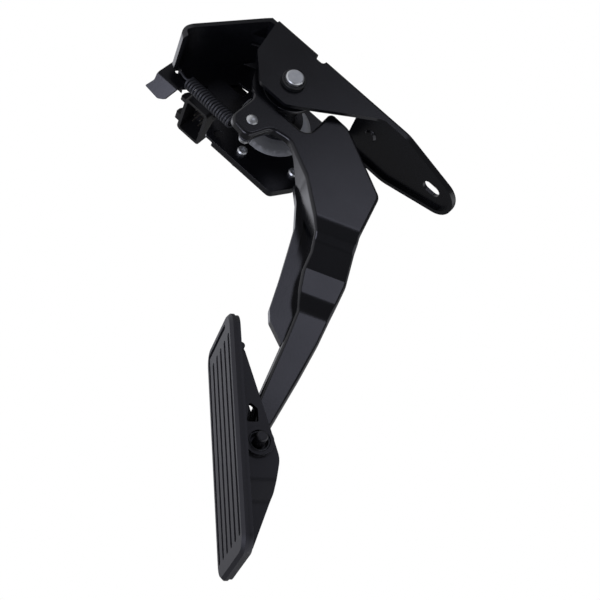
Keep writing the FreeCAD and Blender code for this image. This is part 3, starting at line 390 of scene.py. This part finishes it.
# The upper hook goes through the tab and lies on the hole's rim; the spring's pull holds it there.
hook_play = 0.00113
hook_gap = 0.0007
hook_stand = 0.002
hook_tail = 0.004
back_bend = 0.0012
back_step = 0.0002
front_bend = 0.0015
front_step = 0.0006
hook_front = tab_near_face - hook_stand
hook_back = tab_near_face + sheet + hook_gap + wire_radius
pull = Vector((reach.x, 0, reach.z)).normalized()
rim = hook_hole + pull * hook_play
hook_steps = ((hook_back, hook_tail), (hook_back, back_bend), (hook_back - back_step, 0), (hook_hole.y, 0),
              (hook_front + front_step, 0), (hook_front, front_bend))
top_hook = [Vector((rim.x, y, rim.z)) + pull * along for y, along in hook_steps]
top_hook += reversed(coil_exit(coil_start, -1))

# The lower hook runs round the stud's groove, with its control points a little outside the curve.
groove_radius = 0.0025
hook_wrap = 300
hook_step = 30
control_stand_off = 1.04
hook_ring = (groove_radius + wire_radius) * control_stand_off
across = Vector((0, 1, 0)).cross(pull)
low_hook = coil_exit(coil_end, 1)
for degrees in range(0, hook_wrap + 1, hook_step):
    turn = math.radians(degrees)
    low_hook.append(stud_seat + (across * math.sin(turn) - pull * math.cos(turn)) * hook_ring)

spring_values = {"Coil radius": coil_radius, "Wire radius": wire_radius, "Turns": coil_turns,
                 "Height": (coil_end - coil_start).length, "Start": coil_start, "Lean": lean.to_euler(),
                 "Finish": wound_wire}
hooks = drawn_curve("spring_hooks", [top_hook, low_hook])
spring = grown_mesh(hooks, spring_tree, spring_values, "return_spring_wire")
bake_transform(spring)
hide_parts("return_spring")

# Sensor housing and lid. Glass-filled PBT, moulded in one with the plug socket; the lid is welded on.
# The tool's fine spark texture makes it matt.
pbt = mottled_finish("moulded_pbt", fleck=0.02, detail=2.0, tones=("#0c0c0e", "#151519"),
                     surface={"Roughness": 0.5},
                     grain={"size": 0.0008, "detail": 2.0, "strength": 0.12, "depth": 0.0001})
rounded_copy("sensor_housing", "sensor_housing_moulding", "bracket", pbt, edge=0.0007)
rounded_copy("sensor_cover", "sensor_lid", "bracket", pbt, edge=0.0006)


# Terminal blades. Six square blades of tinned brass, pressed to a tapered tip and stitched into the
# socket's floor in two rows of three. They are soft grey with a warm tinge.
def blade_grid():
    """Node tree of one tapered blade, set on a grid of places."""
    tip_share = 0.4
    tree, given = new_tree("blade_grid", {"Places across": "Int", "Places up": "Int",
                                          "Spread across": "Float", "Spread up": "Float", "Side": "Float",
                                          "Length": "Float", "Tip": "Float", "Middle": "Vector",
                                          "Turn": "Rotation", "Finish": "Material"})
    places = add_node(tree, "GeometryNodeMeshGrid",
                      {"Size X": given["Spread across"], "Size Y": given["Spread up"],
                       "Vertices X": given["Places across"], "Vertices Y": given["Places up"]})
    corner = add_node(tree, "ShaderNodeMath", {0: given["Side"], 1: math.sqrt(0.5)}, operation="MULTIPLY")
    straight = add_node(tree, "ShaderNodeMath", {0: given["Length"], 1: given["Tip"]}, operation="SUBTRACT")
    bar = add_node(tree, "GeometryNodeMeshCylinder",
                   {"Vertices": 4, "Radius": corner.outputs[0], "Depth": straight.outputs[0]})
    drawn = add_node(tree, "GeometryNodeExtrudeMesh",
                     {"Mesh": bar.outputs["Mesh"], "Selection": bar.outputs["Top"],
                      "Offset Scale": given["Tip"]})
    tapered = add_node(tree, "GeometryNodeScaleElements",
                       {"Geometry": drawn.outputs["Mesh"], "Selection": drawn.outputs["Top"],
                        "Scale": tip_share})
    drop = add_node(tree, "ShaderNodeMath", {0: given["Tip"], 1: -0.5}, operation="MULTIPLY")
    lowered = add_node(tree, "ShaderNodeCombineXYZ", {"Z": drop.outputs[0]})
    squared = add_node(tree, "GeometryNodeTransform",
                       {"Geometry": tapered.outputs[0], "Translation": lowered.outputs[0],
                        "Rotation": (0, 0, math.radians(45))})
    copies = add_node(tree, "GeometryNodeInstanceOnPoints",
                      {"Points": places.outputs["Mesh"], "Instance": squared.outputs[0]})
    seated = add_node(tree, "GeometryNodeTransform",
                      {"Geometry": copies.outputs[0], "Translation": given["Middle"],
                       "Rotation": given["Turn"]})
    return end_tree(tree, seated.outputs[0], given["Finish"])


tinned = mottled_finish("tinned_brass", fleck=0.001, detail=2.0, tones=("#b8b2a6", "#d9d5cc"),
                        surface={"Metallic": 1.0, "Roughness": 0.3})
blade_side = 0.001
blade_tip = 0.0012
blades_low, blades_high = [Vector(corner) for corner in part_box("terminal_pins")]
blades_size = blades_high - blades_low
to_mouth = Matrix(((0, 0, -1), (-1, 0, 0), (0, 1, 0)))
blade_values = {"Places across": 3, "Places up": 2, "Spread across": blades_size.y - blade_side,
                "Spread up": blades_size.z - blade_side, "Side": blade_side, "Length": blades_size.x,
                "Tip": blade_tip, "Middle": (blades_low + blades_high) / 2, "Turn": to_mouth.to_euler(),
                "Finish": tinned}
blade_seed = placed("blade_seed", bpy.data.meshes.new("blade_seed"))
terminals = grown_mesh(blade_seed, blade_grid(), blade_values, "socket_terminal_blades")
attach(terminals, "bracket")
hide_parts("terminal_pins")

# Rotor, magnet and board, closed inside the housing. A pale grey moulded rotor on the shaft's flat end
# carries a dark sintered magnet in front of a small round board, green with solder resist.
for node_name, title, dark, light, roughness in (
        ("sensor_rotor", "moulded_rotor_resin", "#6d6d6a", "#85857f", 0.5),
        ("rotor_magnet", "sintered_ferrite", "#26262a", "#37373b", 0.6),
        ("sensor_board", "green_solder_resist", "#0f3a1e", "#1a5a30", 0.35)):
    coat_node(node_name, mottled_finish(title, fleck=0.002, detail=3.0, tones=(dark, light),
                                        surface={"Roughness": roughness}))


# Sensor screws. Three pan-head screws with a six-lobe recess, cold headed and zinc plated, driven through
# the plate into the housing's ears. One screw is grown from its sizes and set on each place.
def loose_boxes(node_name):
    """Lowest and highest corner of each loose solid in a CAD node."""
    work = bmesh.new()
    work.from_mesh(nodes[node_name].data)
    bmesh.ops.remove_doubles(work, verts=work.verts, dist=weld_gap)
    waiting = set(work.verts)
    boxes = []
    while waiting:
        front = [waiting.pop()]
        island = []
        while front:
            vertex = front.pop()
            island.append(vertex.co.copy())
            near = {edge.other_vert(vertex) for edge in vertex.link_edges} & waiting
            waiting -= near
            front.extend(near)
        boxes.append((Vector(map(min, zip(*island))), Vector(map(max, zip(*island)))))
    work.free()
    return boxes


def pan_head_screw():
    """Node tree of one pan-head screw with a six-lobe recess, set on every given place."""
    rim_share = 0.65
    crown_share = 0.78
    recess_share = 0.68
    lobes = 6.0
    lobe_swell = 0.13
    head_sides = 36
    shank_sides = 20
    tree, given = new_tree("pan_head_screw", {"Places": "Geometry", "Head radius": "Float",
                                              "Head height": "Float", "Recess depth": "Float",
                                              "Shank radius": "Float", "Shank length": "Float",
                                              "Turn": "Rotation", "Finish": "Material"})
    rim = add_node(tree, "ShaderNodeMath", {0: given["Head height"], 1: rim_share}, operation="MULTIPLY")
    rise = add_node(tree, "ShaderNodeMath", {0: given["Head height"], 1: 1 - rim_share},
                    operation="MULTIPLY")
    disc = add_node(tree, "GeometryNodeMeshCylinder",
                    {"Vertices": head_sides, "Radius": given["Head radius"], "Depth": rim.outputs[0]})
    crown = add_node(tree, "GeometryNodeExtrudeMesh",
                     {"Mesh": disc.outputs["Mesh"], "Selection": disc.outputs["Top"],
                      "Offset Scale": rise.outputs[0]})
    domed = add_node(tree, "GeometryNodeScaleElements",
                     {"Geometry": crown.outputs["Mesh"], "Selection": crown.outputs["Top"],
                      "Scale": crown_share})
    land = add_node(tree, "GeometryNodeExtrudeMesh",
                    {"Mesh": domed.outputs[0], "Selection": crown.outputs["Top"], "Offset Scale": 0.0})
    opened = add_node(tree, "GeometryNodeScaleElements",
                      {"Geometry": land.outputs["Mesh"], "Selection": land.outputs["Top"],
                       "Scale": recess_share})
    at = add_node(tree, "GeometryNodeInputPosition").outputs[0]
    parts = add_node(tree, "ShaderNodeSeparateXYZ", {0: at}).outputs
    bearing = add_node(tree, "ShaderNodeMath", {0: parts["Y"], 1: parts["X"]}, operation="ARCTAN2")
    sixfold = add_node(tree, "ShaderNodeMath", {0: bearing.outputs[0], 1: lobes}, operation="MULTIPLY")
    wave = add_node(tree, "ShaderNodeMath", {0: sixfold.outputs[0]}, operation="COSINE")
    swell = add_node(tree, "ShaderNodeMath", {0: wave.outputs[0], 1: lobe_swell, 2: 1.0},
                     operation="MULTIPLY_ADD")
    spread = add_node(tree, "ShaderNodeCombineXYZ",
                      {"X": swell.outputs[0], "Y": swell.outputs[0], "Z": 1.0})
    lobed_at = add_node(tree, "ShaderNodeVectorMath", {0: at, 1: spread.outputs[0]}, operation="MULTIPLY")
    lobed = add_node(tree, "GeometryNodeSetPosition",
                     {"Geometry": opened.outputs[0], "Selection": land.outputs["Top"],
                      "Position": lobed_at.outputs[0]})
    sunk = add_node(tree, "ShaderNodeMath", {0: given["Recess depth"], 1: -1.0}, operation="MULTIPLY")
    recess = add_node(tree, "GeometryNodeExtrudeMesh",
                      {"Mesh": lobed.outputs[0], "Selection": land.outputs["Top"],
                       "Offset Scale": sunk.outputs[0]})
    lift = add_node(tree, "ShaderNodeMath", {0: rim.outputs[0], 1: 0.5}, operation="MULTIPLY")
    up = add_node(tree, "ShaderNodeCombineXYZ", {"Z": lift.outputs[0]})
    head = add_node(tree, "GeometryNodeTransform",
                    {"Geometry": recess.outputs["Mesh"], "Translation": up.outputs[0]})
    bar = add_node(tree, "GeometryNodeMeshCylinder",
                   {"Vertices": shank_sides, "Radius": given["Shank radius"],
                    "Depth": given["Shank length"]})
    half = add_node(tree, "ShaderNodeMath", {0: given["Shank length"], 1: -0.5}, operation="MULTIPLY")
    down = add_node(tree, "ShaderNodeCombineXYZ", {"Z": half.outputs[0]})
    shank = add_node(tree, "GeometryNodeTransform",
                     {"Geometry": bar.outputs["Mesh"], "Translation": down.outputs[0]})
    whole = add_node(tree, "GeometryNodeJoinGeometry")
    for part in (head, shank):
        tree.links.new(part.outputs[0], whole.inputs[0])
    copies = add_node(tree, "GeometryNodeInstanceOnPoints",
                      {"Points": given["Places"], "Instance": whole.outputs[0], "Rotation": given["Turn"]})
    return end_tree(tree, copies.outputs[0], given["Finish"])


head_height = 0.0026
recess_depth = 0.0014
shank_radius = 0.00175
screw_boxes = loose_boxes("sensor_screws")
under_heads = [Vector(((low.x + high.x) / 2, low.y + head_height, (low.z + high.z) / 2))
               for low, high in screw_boxes]
screw_size = screw_boxes[0][1] - screw_boxes[0][0]
heads_to_near_side = Matrix.Rotation(math.radians(90), 3, "X")
screw_values = {"Head radius": screw_size.x / 2, "Head height": head_height, "Recess depth": recess_depth,
                "Shank radius": shank_radius, "Shank length": screw_size.y - head_height,
                "Turn": heads_to_near_side.to_euler(), "Finish": zinc}
place_mesh = bpy.data.meshes.new("screw_places")
place_mesh.from_pydata(under_heads, [], [])
screws = grown_mesh(placed("screw_places", place_mesh), pan_head_screw(), screw_values, "housing_screws")
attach(screws, "bracket")
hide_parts("sensor_screws")

# Pad pin and clip. A hardened pin through the arm's end, with a push-on spring ring at its far end.
# Both have a dark zinc-nickel plate, grey and slightly mottled.
dark_plate = mottled_finish("dark_zinc_nickel_plate", fleck=0.0025, detail=4.0,
                            tones=("#222226", "#3c3c41"), surface={"Metallic": 0.6, "Roughness": 0.4})
rounded_copy("pad_pin", "pad_hinge_pin", "pedal", dark_plate, edge=0.0003)
coat_node("pad_clip", dark_plate)

# Pad carrier. Black glass-filled nylon, moulded with two cheeks that hold the pin under the tread.
# It is satin, and greyer than the paint where the light rakes over it.
nylon = mottled_finish("moulded_nylon", fleck=0.03, detail=2.0, tones=("#16161a", "#212126"),
                       surface={"Roughness": 0.45, "Specular Tint": linear("#f2f2ff")},
                       grain={"size": 0.0011, "detail": 3.0, "strength": 0.1, "depth": 0.0001})
rounded_copy("pad_carrier", "pad_carrier_moulding", "pad", nylon, edge=0.0008, segments=3)

# Pad tread. Black rubber moulded over the carrier, with lengthwise grooves for the shoe.
# Its skin is matt with a fine grain, and a little greyer in patches where soles rub.
tread_rubber = mottled_finish("moulded_tread_rubber", fleck=0.025, detail=4.0, tones=("#151519", "#1f1f23"),
                              surface={"Roughness": 0.55, "Specular Tint": linear("#f2f2ff")},
                              grain={"size": 0.0007, "detail": 2.0, "strength": 0.15, "depth": 0.0001})
rounded_copy("pad_tread", "pad_tread_rubber", "pad", tread_rubber, edge=0.0006, segments=3)

# Pad torsion spring. Two turns and a bit of dark wire like the return spring's, but thinner, which lie
# round the pin in the near boss. A short leg at the start holds in the carrier.
torsion_wire = 0.0006
torsion_outer = 0.0056
torsion_radius = torsion_outer - torsion_wire
torsion_turns = 2.2
leg_length = 0.0012
leg_bend = 0.0004
leg_aside = 0.0001
boss_low, boss_high = [Vector(corner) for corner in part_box("pad_spring")]
torsion_start = (boss_low + boss_high) / 2
torsion_start.y = boss_low.y + torsion_wire
along_pin = Vector((0, 1, 0)).to_track_quat("Z", "X")
leg_route = [torsion_start + Vector((torsion_radius, 0, 0)),
             torsion_start + Vector((torsion_radius, 0, -leg_bend)),
             torsion_start + Vector((torsion_radius - leg_bend, leg_aside, -leg_length))]
torsion_values = {"Coil radius": torsion_radius, "Wire radius": torsion_wire, "Turns": torsion_turns,
                  "Height": boss_high.y - boss_low.y - 2 * torsion_wire, "Start": torsion_start,
                  "Lean": along_pin.to_euler(), "Finish": wound_wire}
leg = drawn_curve("torsion_leg", [leg_route])
torsion = grown_mesh(leg, spring_tree, torsion_values, "pad_torsion_wire")
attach(torsion, "pad")
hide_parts("pad_spring")

# Stage. A white paper floor that keeps the shadow, and a white room, bright overhead and dim at eye level.
# The camera, and what looks through, sees the paper and the room as a white background; mirrors see the
# paper white.
floor_radius = 0.36
floor_centre = (-0.1, 0, -0.32)
paper_glow = 0.74
paper, tree = empty_finish("white_paper")
path = add_node(tree, "ShaderNodeLightPath").outputs
paper_skin = add_node(tree, "ShaderNodeBsdfDiffuse", {"Color": linear("#e4e4e4")})
glow = add_node(tree, "ShaderNodeEmission", {"Color": linear("#ffffff"), "Strength": paper_glow})
lit_paper = add_node(tree, "ShaderNodeAddShader", {0: paper_skin.outputs[0], 1: glow.outputs[0]})
direct = add_node(tree, "ShaderNodeMath", {0: path["Is Camera Ray"], 1: path["Is Transmission Ray"]},
                  operation="MAXIMUM")
seen = add_node(tree, "ShaderNodeMath", {0: direct.outputs[0], 1: path["Is Glossy Ray"]},
                operation="MAXIMUM")
mixed = add_node(tree, "ShaderNodeMixShader",
                 {0: seen.outputs[0], 1: paper_skin.outputs[0], 2: lit_paper.outputs[0]})
add_node(tree, "ShaderNodeOutputMaterial", {"Surface": mixed.outputs[0]})
floor_mesh = bpy.data.meshes.new("studio_floor")
disc = bmesh.new()
bmesh.ops.create_circle(disc, cap_ends=True, segments=96, radius=floor_radius,
                        matrix=Matrix.Translation(floor_centre))
disc.to_mesh(floor_mesh)
disc.free()
floor_mesh.materials.append(paper)
placed("studio_floor", floor_mesh)

eye_level_glow = 0.14
ceiling_glow = 0.8
fill_light = 0.3
world = bpy.data.worlds.new("studio")
world.use_nodes = True
bpy.context.scene.world = world
tree = world.node_tree
tree.nodes.clear()
path = add_node(tree, "ShaderNodeLightPath").outputs
gaze = add_node(tree, "ShaderNodeTexCoord").outputs["Generated"]
height = add_node(tree, "ShaderNodeSeparateXYZ", {0: gaze})
ceiling = add_node(tree, "ShaderNodeMapRange",
                   {"Value": height.outputs["Z"], "From Min": 0.25, "From Max": 0.75,
                    "To Min": eye_level_glow, "To Max": ceiling_glow}, interpolation_type="SMOOTHSTEP")
mirrored = add_node(tree, "ShaderNodeMath", {0: ceiling.outputs["Result"], 1: path["Is Glossy Ray"]},
                    operation="MULTIPLY")
fill = add_node(tree, "ShaderNodeMath", {0: path["Is Diffuse Ray"], 1: fill_light}, operation="MULTIPLY")
soft = add_node(tree, "ShaderNodeMath", {0: mirrored.outputs[0], 1: fill.outputs[0]}, operation="MAXIMUM")
direct = add_node(tree, "ShaderNodeMath", {0: path["Is Camera Ray"], 1: path["Is Transmission Ray"]},
                  operation="MAXIMUM")
strength = add_node(tree, "ShaderNodeMath", {0: direct.outputs[0], 1: soft.outputs[0]}, operation="MAXIMUM")
room = add_node(tree, "ShaderNodeBackground", {"Color": linear("#ffffff"), "Strength": strength.outputs[0]})
add_node(tree, "ShaderNodeOutputWorld", {"Surface": room.outputs[0]})

# Lamps. Three square softboxes with a slightly cool white: on the driver's side, in front, and behind and
# above. Black paint shows little but what it mirrors, so each is given by its radiance.
aim = Vector((-0.10, 0.0, -0.02))
for title, stand, width, radiance in (("driver_side_softbox", (-1.25, -0.45, 0.16), 0.75, 4.0),
                                      ("front_softbox", (0.67, -1.26, 0.07), 0.4, 2.05),
                                      ("rear_overhead_softbox", (0.0, 1.1, 0.85), 0.9, 0.6)):
    lamp = bpy.data.lights.new(title, "AREA")
    lamp.shape = "SQUARE"
    lamp.size = width
    lamp.color = linear("#eef0ff")[:3]
    lamp.energy = radiance * math.pi * width ** 2
    holder = placed(title, lamp)
    holder.location = stand
    holder.rotation_euler = (aim - holder.location).to_track_quat("-Z", "Y").to_euler()

# Camera. Below the pad and on the driver's side of the side plate, rolled as the photograph is.
# Its place, its turn and its lens were solved from the plates' edges.
photo_pixels = 600
focal_pixels = 1450
sensor_millimetres = 36
camera_place = Vector((-0.5075, -0.6398, -0.1586))
right = Vector((0.628, -0.263, -0.733)).normalized()
ahead = Vector((0.518, 0.844, 0.141)).normalized()
up = right.cross(ahead).normalized()
lens = bpy.data.cameras.new("photo_camera")
lens.sensor_width = sensor_millimetres
lens.lens = sensor_millimetres * focal_pixels / photo_pixels
lens.clip_start = 0.01
camera = placed("photo_camera", lens)
camera.matrix_world = Matrix.Translation(camera_place) @ Matrix((right, up, -ahead)).transposed().to_4x4()
bpy.context.scene.camera = camera
bpy.context.scene.view_settings.view_transform = "Standard"
